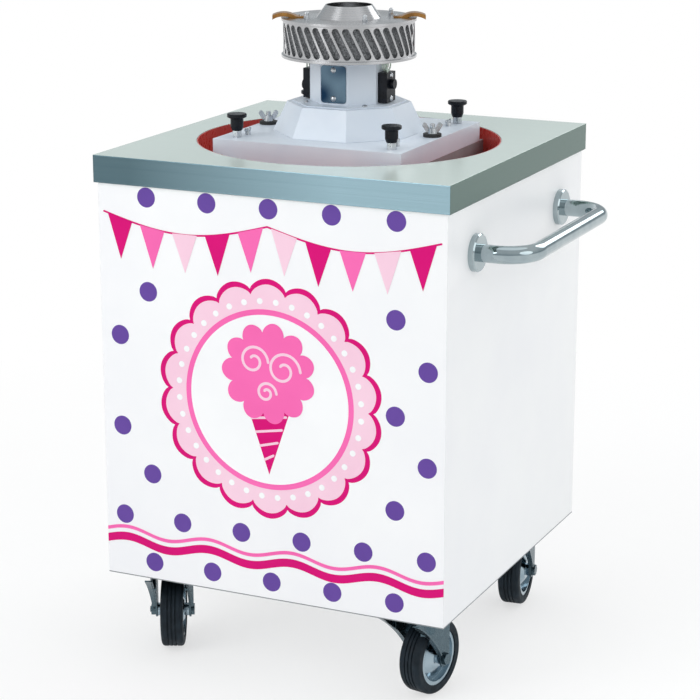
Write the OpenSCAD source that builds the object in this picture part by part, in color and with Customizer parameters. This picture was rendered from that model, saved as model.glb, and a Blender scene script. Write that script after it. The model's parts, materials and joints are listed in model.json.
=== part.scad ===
// Cotton candy cart: a cabinet on four swivel casters, with a floss machine standing in a round well.
// The origin is on the floor under the spin axis, +Z is up, the front faces -Y and the handle is on +X.

/* [Cabinet] */
// Width of the cabinet, left to right
cabinet_w = 600; // [560:5:700]
// Depth of the cabinet, front to back
cabinet_d = 600; // [560:5:700]
// Height from the cabinet's lower edge to the worktop
cabinet_h = 700; // [640:5:800]
// Thickness of the laminated boards
board_t = 16; // [12:1:20]

/* [Worktop] */
// How far the worktop stands out past the cabinet on each side
top_overhang = 5; // [4:0.5:12]
// Height of the folded edge band
top_band = 44; // [30:1:60]
// Thickness of the stainless sheet
top_sheet_t = 1.5; // [1:0.25:3]
// Gap between the hem under the band and the boards
hem_gap = 0.5; // [0.3:0.1:2]
// Least distance from the round cut-out to the cabinet's sides
well_margin = 50; // [38:1:54]

/* [Well] */
// Depth from the worktop to the underside of the well pan
well_depth = 60; // [50:1:90]
// Sheet thickness of the well pan
pan_t = 2; // [1:0.25:3]
// Width of the flange that holds the pan under the worktop
pan_flange_w = 12; // [8:1:18]
// How far the pan's rim stays below the worktop surface
pan_rim_drop = 0.5; // [0.3:0.1:1.2]
// Width of a support rail
rail_w = 45; // [40:1:50]
// Wall of a support rail
rail_wall = 2.5; // [2:0.25:4]
// Gap between a rail's end and the pan's wall
rail_end_gap = 2; // [1:0.5:10]

/* [Rear door] */
// Width of the frame on each side of the door
door_stile = 80; // [50:1:120]
// Height from the door's top to the worktop
door_head = 114; // [90:1:180]
// Gap round the door
door_gap = 3; // [2:0.5:5]
// Height of the door's lower edge above the cabinet's lower edge
door_sill = 66; // [40:1:80]
// Height of a butt hinge
hinge_h = 60; // [45:1:80]
// Distance of each hinge from the door's end
hinge_inset = 70; // [50:1:120]
// Width of a hinge leaf from the pin's axis
hinge_leaf_w = 22; // [16:1:30]
// Thickness of a hinge leaf
hinge_leaf_t = 2; // [1.5:0.25:3]
// Outer radius of the hinge knuckles
knuckle_r = 5; // [4:0.25:7]
// Radius of a hinge pin
hinge_pin_r = 2.5; // [2:0.25:3]
// Radius of the door knob
knob_r = 15; // [12:0.5:20]
// How far the door knob stands out
knob_l = 28; // [22:1:40]
// Distance of the door knob from the door's free edge
knob_inset = 40; // [25:1:80]
// Width of each half of the magnetic catch
catch_w = 22; // [15:1:30]
// Height of the magnetic catch
catch_h = 30; // [20:1:50]
// Thickness of the magnetic catch
catch_t = 14; // [10:1:20]
// Distance of the catch's foot from the door's top
catch_inset = 90; // [60:1:160]

/* [Handle] */
// Diameter of the handle tube
handle_d = 28; // [22:1:34]
// Wall of the handle tube
handle_wall = 1.5; // [1:0.25:3]
// Distance between the two flanges, centre to centre
handle_span = 380; // [300:5:460]
// Distance from the side panel to the grip's axis
handle_reach = 85; // [75:1:120]
// Bend radius of the tube at its axis
handle_bend_r = 50; // [40:1:60]
// Depth of the handle below the worktop
handle_drop = 124; // [100:1:180]
// Diameter of a flange
flange_d = 60; // [50:1:75]
// Thickness of a flange
flange_t = 10; // [6:0.5:14]
// Width of the bevel round a flange
flange_bevel = 2; // [1:0.25:3]

/* [Casters] */
// Height from the floor to the cabinet
caster_h = 160; // [156:1:175]
// Diameter of a wheel
wheel_d = 125; // [100:1:128]
// Width of a tyre
tyre_w = 38; // [30:1:42]
// Depth of rubber from the rim's seat to the tread
tyre_depth = 19; // [14:0.5:22]
// Number of ribs on the tread
tread_ribs = 4; // [3:1:6]
// Width of a tread groove
groove_w = 2.2; // [1.5:0.1:3]
// Depth of a tread groove
groove_d = 2; // [1:0.25:3]
// Distance from the cabinet's sides to a swivel axis
caster_inset = 75; // [60:1:110]
// Distance from the cabinet's front to the front swivel axes
caster_inset_front = 75; // [60:1:110]
// Distance from the cabinet's rear to the rear swivel axes
caster_inset_rear = 100; // [60:1:110]
// Distance of the axle behind the swivel axis
caster_trail = 35; // [25:1:42]
// Width of a caster's top plate
caster_plate_w = 100; // [80:1:110]
// Depth of a caster's top plate
caster_plate_d = 85; // [76:1:100]
// Thickness of a caster's top plate
caster_plate_t = 4; // [3:0.5:6]
// Height of the ball race under the plate
race_h = 6; // [4:0.5:9]
// Radius of the ball race
race_r = 30; // [25:1:34]
// Radius of a kingpin
kingpin_r = 6; // [5:0.25:8]
// Radius of the fork's crown
crown_r = 36; // [34:0.5:40]
// Thickness of the crown
crown_t = 5; // [4:0.5:7]
// Depth of the crown's skirt
crown_skirt = 30; // [22:1:34]
// Thickness of the fork's pressed steel
fork_t = 3; // [2:0.25:4]
// Distance between the fork's legs
fork_inside = 54; // [50:1:58]
// Radius of the fork's eye round the axle
fork_eye_r = 13; // [11:0.5:16]
// Radius of the hollow front edge of the fork's legs
fork_hollow_r = 75; // [60:1:120]
// Diameter of the axle bolt
axle_d = 10; // [8:0.5:12]
// Direction in which each wheel trails, counted from +X: front left, front right, rear left, rear right
trail_dir = [115, 79, 100, 96]; // [0:1:360]

/* [Machine base] */
// Room between the base plate's corners and the cut-out
base_room = 16.65; // [10:0.05:30]
// Depth of the plate's folded skirt
base_skirt = 32; // [24:1:40]
// Sheet thickness of the base plate
base_t = 2; // [1.5:0.25:3]
// How far the plate stands above the worktop
base_rise = 14; // [8:1:24]

/* [Housings] */
// Height of the pyramid housing
pyramid_h = 48; // [42:1:60]
// Width of the base plate left free beside the pyramid's foot
plate_margin = 50; // [44:0.5:55]
// Width across the flats at the pyramid's top
pyramid_top_w = 188; // [180:1:204]
// Height of the neck housing
neck_h = 68; // [66:1:75]
// Width across the flats of the neck
neck_w = 118; // [112:1:124]
// Width across the flats of the neck's flange
neck_flange_w = 172; // [164:1:178]
// Sheet thickness of the housings
housing_t = 2; // [1.5:0.25:3]
// Distance from the inspection plate to the edges of the neck's flat
hatch_edge = 2.4; // [1:0.1:6]
// Height of the inspection plate
hatch_h = 60; // [48:1:62]
// Thickness of the inspection plate
hatch_t = 1.5; // [1:0.25:2.5]
// Corner radius of the inspection plate
hatch_corner_r = 5; // [3:0.5:8]
// Radius of a domed screw's head
screw_head_r = 5; // [4:0.25:5.5]
// Height of a domed screw's head
screw_head_h = 3; // [2:0.25:4]
// Radius of a domed screw's shank
screw_r = 2.5; // [2:0.25:3]
// Length of a domed screw's shank
screw_l = 5; // [4.5:0.5:8]

/* [Brush gear] */
// Width of a brush holder
holder_w = 34; // [30:1:40]
// Height of a brush holder
holder_h = 48; // [46:1:51]
// Thickness of a brush holder
holder_t = 16; // [15:0.5:20]
// Radius of a brush cap
cap_r = 8; // [6.5:0.25:8.5]
// How far a brush cap stands out
cap_l = 7; // [5:0.5:10]
// Side of a square carbon brush
brush_side = 8; // [6:0.5:9]
// Radius of the slip rings
ring_r = 27; // [22:0.5:30]
// Height of a slip ring
ring_h = 9; // [9:0.25:9.5]
// Diameter of a brush lead
lead_d = 2.6; // [2.4:0.1:3.2]
// Room between a lead's loops and the head above them
lead_room = 1.5; // [1:0.25:3]
// Distance between a lead's loops
lead_pitch = 4.2; // [4:0.1:4.4]
// Number of full loops in a lead
lead_loops = 2; // [1:1:2]

/* [Drive] */
// Radius of the motor
motor_r = 44; // [36:1:52]
// Height of the motor
motor_h = 88; // [70:1:100]
// Radius of the spindle
spindle_r = 8; // [6:0.25:9]
// Outer radius of a bearing
bearing_r = 17.5; // [15:0.25:19]
// Height of a bearing
bearing_h = 11; // [9:0.5:12]

/* [Spinner head] */
// Gap between the neck and the head
head_gap = 6; // [5.5:0.5:9]
// Radius of the head's two rims
head_r = 110; // [106:0.5:114]
// How far the slotted band lies inside the rims
band_inset = 3; // [2:0.25:5]
// Thickness of the slotted band
band_t = 1.5; // [1:0.25:3]
// Height of the slotted band
band_h = 55; // [52:1:60]
// Thickness of the rims
rim_t = 4; // [3:0.25:6]
// Number of slots in the band
slot_count = 40; // [30:1:42]
// Width of a slot
slot_w = 11.4; // [8:0.1:12]
// Height of the slotted part of the band
slot_h = 50; // [40:0.5:51]
// Lean of the slots from upright, in degrees
slot_lean = 26; // [0:1:32]
// Radius of the heater ring
heater_r = 100; // [92:0.5:101]
// Thickness of the heater ring
heater_t = 2; // [1.5:0.25:4]
// Height of the filling cone
cone_h = 20; // [16:0.5:30]
// Radius of the cone's foot
cone_low_r = 53; // [46:0.5:57]
// Radius of the cone's mouth
cone_top_r = 38.5; // [30:0.5:42]
// Wall of the cone
cone_t = 2; // [1.5:0.25:3]
// Radius of the circle of cover studs
stud_circle_r = 73; // [69:0.5:75]
// Radius of a cover stud
cover_stud_r = 2.5; // [2:0.25:3]
// Height of a dome nut
dome_nut_h = 12; // [9:0.5:15]
// Width across the flats of a dome nut
dome_nut_w = 8; // [7:0.25:10]
// Direction of the two rim clips, counted from +X
clip_dir = 25; // [20:1:70]
// Width of a rim clip
clip_w = 24; // [16:1:30]
// Thickness of a rim clip's leaf
clip_t = 6; // [3:0.25:7]
// Thickness of a rim clip's foot
clip_foot_t = 2; // [1.5:0.25:3]
// Length of a rim clip's foot
clip_foot = 10; // [8:0.5:12]
// Radius of a clip's arch
clip_arch_r = 40; // [34:0.5:46]
// Height of a clip's arch above the cover
clip_rise = 8; // [7.5:0.5:11]
// How far a clip stands out past the rim
clip_reach = 14; // [8:0.5:18]

/* [Clamps] */
// Distance of the two large clamp studs from the plate's edge
clamp_inset = 17; // [16:0.5:23]
// Diameter of a large clamp stud
clamp_d = 8; // [6:0.5:9]
// Diameter of a small clamp stud
small_clamp_d = 5; // [4:0.5:6]
// Distance of the small clamp studs from the plate's side edges
small_clamp_inset_x = 33; // [27:0.5:35]
// Distance of the small clamp studs from the plate's front and rear edges
small_clamp_inset_y = 59; // [57:0.5:67]
// Radius of a rubber washer
washer_r = 15; // [13:0.25:15.5]
// Thickness of a rubber washer
washer_t = 5; // [3:0.25:7]
// Distance of the plungers from the plate's edges, both ways
plunger_inset = 29; // [25:0.5:31]
// Radius of a plunger pin
plunger_r = 4; // [3:0.25:5]
// Depth of a plunger pin in its rail
plunger_depth = 5; // [3:0.25:6]
// Height of a plunger bush above the plate
bush_h = 11; // [8:0.5:14]
// Width across the flats of a plunger bush
bush_w = 14; // [13:0.25:16]
// Radius of a plunger knob's cap
plunger_cap_r = 16; // [14:0.25:17]
// Thickness of a plunger knob's cap
plunger_cap_h = 6; // [4:0.25:8]
// Radius of a plunger knob's body
plunger_body_r = 10.5; // [9:0.25:12]
// Height of a plunger knob's body
plunger_body_h = 21; // [16:0.5:26]

/* [Hidden] */
$fn = 64;

// Radial clearance of a running fit
run_gap = 0.05;
// Clearance between faces that move past each other
face_gap = 0.3;
// Radial clearance of a bolt or stud in its hole
hole_gap = 0.3;
// Overlap that lets a cut run clean through a face
through = 1;

// Levels from the floor up
bottom_z = caster_h;
top_z = caster_h + cabinet_h;
under_z = top_z - top_sheet_t;
pan_floor_z = top_z - well_depth + pan_t;
plate_z = top_z + base_rise;
rail_z = plate_z - base_skirt;
neck_z = plate_z + pyramid_h;
neck_top_z = neck_z + neck_h;
head_z = neck_top_z + head_gap;
band_z = head_z + rim_t;
cover_z = band_z + band_h;
cover_top_z = cover_z + rim_t;

// Cabinet, door and handle
panel_h = cabinet_h - top_sheet_t;
door_w = cabinet_w - 2 * door_stile;
door_h = cabinet_h - door_sill - door_head;
door_z = bottom_z + door_sill;
hinge_x = -(door_w + door_gap) / 2;
hinge_y = cabinet_d / 2 + knuckle_r;
pin_head_edge = 1.2;
pin_head_r = hinge_pin_r + pin_head_edge;
pin_head_h = 2;
handle_z = top_z - handle_drop;

// Well, base plate and rails
well_r = min(cabinet_w, cabinet_d) / 2 - well_margin;
pan_r = well_r - hole_gap;
base_side = sqrt(2) * (well_r - base_room);
rail_x = (base_side - rail_w) / 2;
rail_l = 2 * (sqrt(pow(pan_r - pan_t, 2) - pow(base_side / 2, 2)) - rail_end_gap);

// Casters
wheel_r = wheel_d / 2;
swivel_x = cabinet_w / 2 - caster_inset;
swivel_front_y = caster_inset_front - cabinet_d / 2;
swivel_rear_y = cabinet_d / 2 - caster_inset_rear;
fork_top_z = bottom_z - caster_plate_t - race_h - face_gap;
crown_low_z = fork_top_z - crown_t;
kingpin_head_r = kingpin_r * 1.8;
kingpin_head_h = 5;
fork_leg_half = sqrt(pow(crown_r, 2) - pow(fork_inside / 2, 2));
fork_tyre_gap = 5;
fork_slot_w = tyre_w + 2 * fork_tyre_gap;
fork_skirt_z = fork_top_z - crown_skirt;
axle_hex_w = axle_d * 1.7;
axle_head_h = axle_d * 0.55;
axle_nut_h = axle_d * 0.8;
axle_tail = axle_nut_h + 2;
seat_r = wheel_r - tyre_depth;
hub_r = axle_d / 2 + 6;
hub_step = 8;
hub_land = 5;
rim_sheet = 2.5;
rim_lip = 4;
dish_land = 8;
web_half = 7;
barrel_half = tyre_w / 2 - 4;
shoulder_r = 6;
corners = ["fl", "fr", "rl", "rr"];
corner_sign = [[-1, -1], [1, -1], [-1, 1], [1, 1]];
swivels = [for (s = corner_sign) [s.x * swivel_x, s.y < 0 ? swivel_front_y : swivel_rear_y, 0]];

// Housings and their screws
octagon_turn = 22.5;
pyramid_low_w = base_side - 2 * plate_margin;
hatch_w = neck_w * tan(octagon_turn) - 2 * hatch_edge;
screw_place = (neck_flange_w + neck_w) / 4 / sqrt(2);
hatch_z = (neck_z + housing_t + neck_top_z) / 2;
hatch_screw_inset = screw_head_r + 2;
boss_wall = 4;
spindle_room = 4;

// Brush gear
holder_x = neck_w / 2;
holder_z = neck_z + housing_t + 2;
holder_top_z = holder_z + holder_h;
holder_mid_z = holder_z + holder_h / 2;
holder_screw_z = holder_h / 2 - screw_head_r - face_gap;
brush_sign = [1, -1];
brush_z = [for (s = brush_sign) holder_mid_z + s * (ring_h / 2 + face_gap)];
brush_grip = 8;
cap_slot_w = 1.5;

// Brush leads
lead_sides = 6;
lead_steps = 24;
lead_turns = lead_loops + 0.5;
lead_loop_r = (head_z - lead_room - holder_top_z - face_gap - lead_d) / 2;
lead_x = holder_x + (holder_t - lead_pitch * lead_turns) / 2;
lead_z = holder_top_z + face_gap + lead_d / 2 + lead_loop_r;

// Drive
motor_top_z = neck_z - housing_t;
motor_floor = 8;
motor_room = 6;

// Spinner head
band_r = head_r - band_inset;
head_hub_r = spindle_r + 12;
head_hub_h = 12;
spindle_nut_h = 8;

// Clamps
clamp_x = base_side / 2 - clamp_inset;
small_clamp_x = base_side / 2 - small_clamp_inset_x;
small_clamp_y = base_side / 2 - small_clamp_inset_y;
plunger_place = base_side / 2 - plunger_inset;
wing_turn = 30;
wing_lean = 32;
bush_shank_r = bush_w / 2 - 1;
bush_tail = 6;
pin_bevel = 1;

// Corner radius of a regular octagon, from its width across the flats
function octagon_r(flats) = flats / 2 / cos(octagon_turn);

// Width of the pyramid across its flats at a height above its foot
function pyramid_w(z) = pyramid_low_w + (pyramid_top_w - pyramid_low_w) * z / pyramid_h;

// Box centred on the spin axis, standing at a level
module middle_box(w, d, z, h) {
    translate([-w / 2, -d / 2, z])
        cube([w, d, h]);
}

// Cylinder standing at a level
module post(r, z, h) {
    translate([0, 0, z])
        cylinder(r = r, h = h);
}

// Octagonal prism with its flats square to X and Y
module octagon(flats, z, h) {
    translate([0, 0, z])
        rotate(octagon_turn)
            cylinder(r = octagon_r(flats), h = h, $fn = 8);
}

// Hexagonal prism given by its width across the flats
module hexagon(flats, h) {
    cylinder(r = flats / 2 / cos(30), h = h, $fn = 6);
}

// Places of the four corners of a square or rectangle
module at_corners(x, y) {
    for (s = corner_sign)
        translate([s.x * x, s.y * y, 0])
            children();
}

// Local frame of one caster: the wheel trails along +X and the axle lies along Y
module at_caster(i) {
    translate(swivels[i])
        rotate(trail_dir[i])
            children();
}

// Local frame of one wheel: the axle lies along Z
module at_wheel(i) {
    at_caster(i)
        translate([caster_trail, 0, wheel_r])
            rotate([90, 0, 0])
                children();
}

// Both hinges, with the pin's axis along Z
module at_hinges() {
    for (z = [door_z + hinge_inset, door_z + door_h - hinge_inset])
        translate([hinge_x, hinge_y, z])
            children();
}

// Seats of all domed screws, with +Z out of the surface
module at_screws() {
    for (s = corner_sign)
        translate([s.x * screw_place, s.y * screw_place, neck_z + housing_t])
            children();
    for (s = [-1, 1]) {
        translate([0, -neck_w / 2 - hatch_t, hatch_z + s * (hatch_h / 2 - hatch_screw_inset)])
            rotate([90, 0, 0])
                children();
        for (side = brush_sign)
            translate([side * (holder_x + holder_t), 0, holder_mid_z + s * holder_screw_z])
                rotate([0, side * 90, 0])
                    children();
    }
}

// Holes for the shanks of the domed screws
module screw_holes() {
    at_screws()
        post(screw_r + run_gap, -screw_l - face_gap, screw_l + face_gap + through);
}

module base_board() {
    color("white")
        middle_box(cabinet_w - 2 * board_t, cabinet_d - 2 * board_t, bottom_z, board_t);
}

module front_panel() {
    color("white")
        translate([-cabinet_w / 2, -cabinet_d / 2, bottom_z])
            cube([cabinet_w, board_t, panel_h]);
}

module side_panel(side) {
    color("white")
        translate([side * (cabinet_w - board_t) / 2 - board_t / 2, board_t - cabinet_d / 2, bottom_z])
            cube([board_t, cabinet_d - 2 * board_t, panel_h]);
}

module left_panel() {
    side_panel(-1);
}

module right_panel() {
    side_panel(1);
}

module rear_frame() {
    color("white")
        difference() {
            translate([-cabinet_w / 2, cabinet_d / 2 - board_t, bottom_z])
                cube([cabinet_w, board_t, panel_h]);
            translate([-door_w / 2 - door_gap, cabinet_d / 2 - board_t - through, door_z - door_gap])
                cube([door_w + 2 * door_gap, board_t + 2 * through, door_h + 2 * door_gap]);
        }
}

module door() {
    color("white")
        translate([-door_w / 2, cabinet_d / 2 - board_t, door_z])
            cube([door_w, board_t, door_h]);
}

// One hinge leaf: a plate on the given side of the pin, with knuckles at the given spans
module hinge_leaf(side, spans) {
    difference() {
        union() {
            translate([side > 0 ? knuckle_r + face_gap : -hinge_leaf_w, -knuckle_r, -hinge_h / 2])
                cube([hinge_leaf_w - knuckle_r - face_gap, hinge_leaf_t, hinge_h]);
            for (span = spans) {
                post(knuckle_r, span[0], span[1] - span[0]);
                translate([side > 0 ? 0 : -knuckle_r - face_gap, -knuckle_r, span[0]])
                    cube([knuckle_r + face_gap, hinge_leaf_t, span[1] - span[0]]);
            }
        }
        post(hinge_pin_r + run_gap, -hinge_h, 2 * hinge_h);
    }
}

module hinge_frame_leaves() {
    inner = hinge_h / 6 + face_gap / 2;
    color("silver")
        at_hinges()
            hinge_leaf(-1, [[-hinge_h / 2, -inner], [inner, hinge_h / 2]]);
}

module hinge_door_leaves() {
    inner = hinge_h / 6 - face_gap / 2;
    color("silver")
        at_hinges()
            hinge_leaf(1, [[-inner, inner]]);
}

module hinge_pins() {
    color("gray")
        at_hinges() {
            post(hinge_pin_r, -hinge_h / 2, hinge_h);
            post(pin_head_r, hinge_h / 2, pin_head_h);
            post(pin_head_r, -hinge_h / 2 - pin_head_h, pin_head_h);
        }
}

module door_knob() {
    foot_r = knob_r * 0.6;
    neck_r = knob_r * 0.45;
    face_r = knob_r * 0.85;
    neck_low = knob_l * 0.15;
    neck_high = knob_l * 0.45;
    edge_low = knob_l * 0.7;
    edge_high = knob_l * 0.9;
    color("silver")
        translate([door_w / 2 - knob_inset, cabinet_d / 2, door_z + door_h / 2])
            rotate([-90, 0, 0])
                rotate_extrude()
                    polygon([
                        [0, 0], [foot_r, 0], [neck_r, neck_low], [neck_r, neck_high],
                        [knob_r, edge_low], [knob_r, edge_high], [face_r, knob_l], [0, knob_l]
                    ]);
}

module magnet_catch() {
    back = cabinet_d / 2 - board_t;
    edge = door_w / 2 + door_gap;
    color("dimgray")
        translate([0, 0, door_z + door_h - catch_inset]) {
            translate([edge, back - catch_t, 0])
                cube([catch_w, catch_t, catch_h]);
            translate([edge - catch_w, back - catch_t, 0])
                cube([catch_w, catch_t - face_gap, catch_h]);
        }
}

// Box over the cabinet's plan, wider by an edge on each side
module cabinet_box(edge, z, h) {
    middle_box(cabinet_w + 2 * edge, cabinet_d + 2 * edge, z, h);
}

module worktop() {
    band_z_low = top_z - top_band;
    color("lightsteelblue")
        difference() {
            cabinet_box(top_overhang, band_z_low, top_band);
            cabinet_box(top_overhang - top_sheet_t, band_z_low + top_sheet_t, top_band - 2 * top_sheet_t);
            cabinet_box(hem_gap, band_z_low - through, top_sheet_t + 2 * through);
            post(well_r, under_z - through, top_sheet_t + 2 * through);
        }
}

module well_pan() {
    low_z = pan_floor_z - pan_t;
    rim_z = top_z - pan_rim_drop;
    flange_r = pan_r + pan_flange_w;
    color("firebrick")
        rotate_extrude()
            polygon([
                [0, low_z], [pan_r, low_z], [pan_r, under_z - pan_t], [flange_r, under_z - pan_t],
                [flange_r, under_z], [pan_r, under_z], [pan_r, rim_z], [pan_r - pan_t, rim_z],
                [pan_r - pan_t, pan_floor_z], [0, pan_floor_z]
            ]);
}

module support_rails() {
    rail_h = rail_z - pan_floor_z;
    inner_h = rail_h - 2 * rail_wall;
    color("gray")
        for (side = [-1, 1])
            difference() {
                translate([side * rail_x, 0, pan_floor_z])
                    middle_box(rail_w, rail_l, 0, rail_h);
                translate([side * rail_x, 0, pan_floor_z])
                    middle_box(rail_w - 2 * rail_wall, rail_l + 2 * through, rail_wall, inner_h);
                at_corners(plunger_place, plunger_place)
                    post(plunger_r + run_gap, rail_z - rail_wall - through, rail_wall + 2 * through);
            }
}

// The handle's run at a given radius: two legs, two bends and the grip
module handle_run(r) {
    leg = handle_reach - handle_bend_r;
    half = handle_span / 2;
    for (side = [0, 1])
        mirror([0, side, 0]) {
            translate([0, half, 0])
                rotate([0, 90, 0])
                    cylinder(r = r, h = leg);
            translate([leg, half - handle_bend_r, 0])
                rotate_extrude(angle = 90)
                    translate([handle_bend_r, 0])
                        circle(r = r);
        }
    translate([handle_reach, half - handle_bend_r, 0])
        rotate([90, 0, 0])
            cylinder(r = r, h = handle_span - 2 * handle_bend_r);
}

module handle_tube() {
    color("gainsboro")
        translate([cabinet_w / 2, 0, handle_z])
            difference() {
                handle_run(handle_d / 2);
                handle_run(handle_d / 2 - handle_wall);
            }
}

module handle_flanges() {
    face_r = flange_d / 2 - flange_bevel;
    color("gainsboro")
        for (side = [-1, 1])
            translate([cabinet_w / 2, side * handle_span / 2, handle_z])
                rotate([0, 90, 0])
                    difference() {
                        union() {
                            cylinder(r = flange_d / 2, h = flange_t - flange_bevel);
                            translate([0, 0, flange_t - flange_bevel])
                                cylinder(r1 = flange_d / 2, r2 = face_r, h = flange_bevel);
                        }
                        post(handle_d / 2 + run_gap, -through, flange_t + 2 * through);
                    }
}

module caster_plates() {
    head_top_z = crown_low_z - face_gap;
    color("silver")
        for (place = swivels)
            translate(place) {
                middle_box(caster_plate_w, caster_plate_d, bottom_z - caster_plate_t, caster_plate_t);
                post(race_r, bottom_z - caster_plate_t - race_h, race_h);
                post(kingpin_r, head_top_z, bottom_z - caster_plate_t - head_top_z);
                post(kingpin_head_r, head_top_z - kingpin_head_h, kingpin_head_h);
            }
}

// Centre of a circle of a given radius through two points, on the left of the way from a to b
function arc_centre(a, b, r) =
    let (half = (b - a) / 2, side = [-half.y, half.x] / norm(half))
    a + half + side * sqrt(pow(r, 2) - pow(norm(half), 2));

// One leg of the fork: straight behind, hollow in front, with an eye round the axle
module fork_leg(side) {
    front = [-fork_leg_half, fork_skirt_z];
    low = [caster_trail - fork_eye_r, wheel_r];
    translate([0, side * (fork_inside + fork_t) / 2 + fork_t / 2, 0])
        rotate([90, 0, 0])
            linear_extrude(fork_t) {
                difference() {
                    polygon([
                        [-fork_leg_half, fork_top_z], [caster_trail + fork_eye_r, fork_top_z],
                        [caster_trail + fork_eye_r, wheel_r], low, front
                    ]);
                    translate(arc_centre(low, front, fork_hollow_r))
                        circle(r = fork_hollow_r);
                }
                translate([caster_trail, wheel_r])
                    circle(r = fork_eye_r);
            }
}

// The crown: a round plate drawn out over the legs, with a skirt that is open ahead for the wheel
module fork_crown() {
    span = fork_inside + 2 * fork_t;
    translate([0, -span / 2, crown_low_z])
        cube([caster_trail + fork_eye_r, span, crown_t]);
    difference() {
        post(crown_r, fork_skirt_z, crown_skirt);
        post(crown_r - fork_t, fork_skirt_z - through, crown_skirt - crown_t + through);
        middle_box(3 * crown_r, fork_slot_w, fork_skirt_z - through, crown_skirt - crown_t + through);
        translate([0, -crown_r, fork_skirt_z - through])
            cube([crown_r, 2 * crown_r, crown_skirt - crown_t + through]);
    }
}

module fork(i) {
    color("silver")
        at_caster(i)
            difference() {
                union() {
                    fork_crown();
                    fork_leg(-1);
                    fork_leg(1);
                }
                post(kingpin_r + run_gap, crown_low_z - through, crown_t + 2 * through);
                translate([caster_trail, crown_r * 2, wheel_r])
                    rotate([90, 0, 0])
                        cylinder(r = axle_d / 2 + hole_gap, h = crown_r * 4);
            }
}

module axle(i) {
    half = fork_inside / 2 + fork_t;
    color("gainsboro")
        at_wheel(i) {
            post(axle_d / 2, -half - axle_tail, 2 * half + axle_tail);
            translate([0, 0, half])
                hexagon(axle_hex_w, axle_head_h);
            translate([0, 0, -half - axle_nut_h])
                hexagon(axle_hex_w, axle_nut_h);
        }
}

// Half of the pressed rim's section: hub, dished web, barrel and flange
module rim_half() {
    hub_half = fork_inside / 2 - face_gap;
    bore_r = axle_d / 2 + run_gap;
    half_sheet = rim_sheet / 2;
    high = hub_half - hub_step;
    land_r = hub_r + hub_land;
    foot_r = seat_r - dish_land;
    translate([bore_r, 0])
        square([hub_r - bore_r, hub_half]);
    polygon([
        [hub_r - half_sheet, high], [land_r, high],
        [foot_r, web_half], [seat_r - half_sheet, web_half],
        [seat_r - half_sheet, web_half - rim_sheet], [foot_r - half_sheet, web_half - rim_sheet],
        [land_r - half_sheet, high - rim_sheet], [hub_r - half_sheet, high - rim_sheet]
    ]);
    translate([seat_r - rim_sheet, 0])
        square([rim_sheet, barrel_half + rim_sheet]);
    translate([seat_r - rim_sheet, barrel_half])
        square([rim_sheet + rim_lip, rim_sheet]);
}

module rim(i) {
    color("lightsteelblue")
        at_wheel(i)
            rotate_extrude() {
                rim_half();
                mirror([0, 1])
                    rim_half();
            }
}

module tyre(i) {
    flat = tyre_w - 2 * shoulder_r;
    color("black")
        at_wheel(i)
            rotate_extrude()
                difference() {
                    union() {
                        translate([seat_r, -barrel_half])
                            square([tyre_depth / 2, 2 * barrel_half]);
                        translate([seat_r + rim_lip, -tyre_w / 2])
                            square([tyre_depth - rim_lip - shoulder_r, tyre_w]);
                        translate([seat_r + tyre_depth / 2, -flat / 2])
                            square([tyre_depth / 2, flat]);
                        for (side = [-1, 1])
                            translate([wheel_r - shoulder_r, side * flat / 2])
                                circle(r = shoulder_r);
                    }
                    for (rib = [1 : tread_ribs - 1])
                        translate([wheel_r - groove_d, flat * (rib / tread_ribs - 1 / 2) - groove_w / 2])
                            square([groove_d + through, groove_w]);
                }
}

module machine_base() {
    inner = base_side - 2 * base_t;
    color("aliceblue")
        difference() {
            middle_box(base_side, base_side, rail_z, base_skirt);
            middle_box(inner, inner, rail_z - through, base_skirt - base_t + through);
            post(motor_r + motor_room, rail_z, base_skirt + through);
            for (side = [-1, 1])
                translate([side * clamp_x, 0, 0])
                    post(clamp_d / 2 + hole_gap, rail_z, base_skirt + through);
            at_corners(small_clamp_x, small_clamp_y)
                post(small_clamp_d / 2 + hole_gap, rail_z, base_skirt + through);
            at_corners(plunger_place, plunger_place)
                post(bush_shank_r + run_gap, rail_z, base_skirt + through);
        }
}

// Octagonal frustum with its flats square to X and Y
module frustum(low, top, z, h) {
    translate([0, 0, z])
        rotate(octagon_turn)
            cylinder(r1 = octagon_r(low), r2 = octagon_r(top), h = h, $fn = 8);
}

module pyramid_housing() {
    inner_h = pyramid_h - housing_t;
    inner_low = pyramid_w(-through) - 2 * housing_t;
    inner_top = pyramid_w(inner_h) - 2 * housing_t;
    color("aliceblue")
        difference() {
            frustum(pyramid_low_w, pyramid_top_w, plate_z, pyramid_h);
            frustum(inner_low, inner_top, plate_z - through, inner_h + through);
            post(spindle_r + spindle_room, neck_z - housing_t - through, housing_t + 2 * through);
            screw_holes();
        }
}

module neck_housing() {
    boss_h = bearing_h + housing_t;
    color("aliceblue")
        difference() {
            union() {
                difference() {
                    union() {
                        octagon(neck_flange_w, neck_z, housing_t);
                        octagon(neck_w, neck_z, neck_h);
                    }
                    octagon(neck_w - 2 * housing_t, neck_z - through, neck_h - housing_t + through);
                }
                post(bearing_r + boss_wall, neck_top_z - boss_h, boss_h);
            }
            post(bearing_r, neck_top_z - bearing_h, bearing_h + through);
            post(spindle_r + spindle_room / 2, neck_top_z - boss_h - through, boss_h);
            brush_ways(holder_x + through);
            screw_holes();
        }
}

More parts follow.
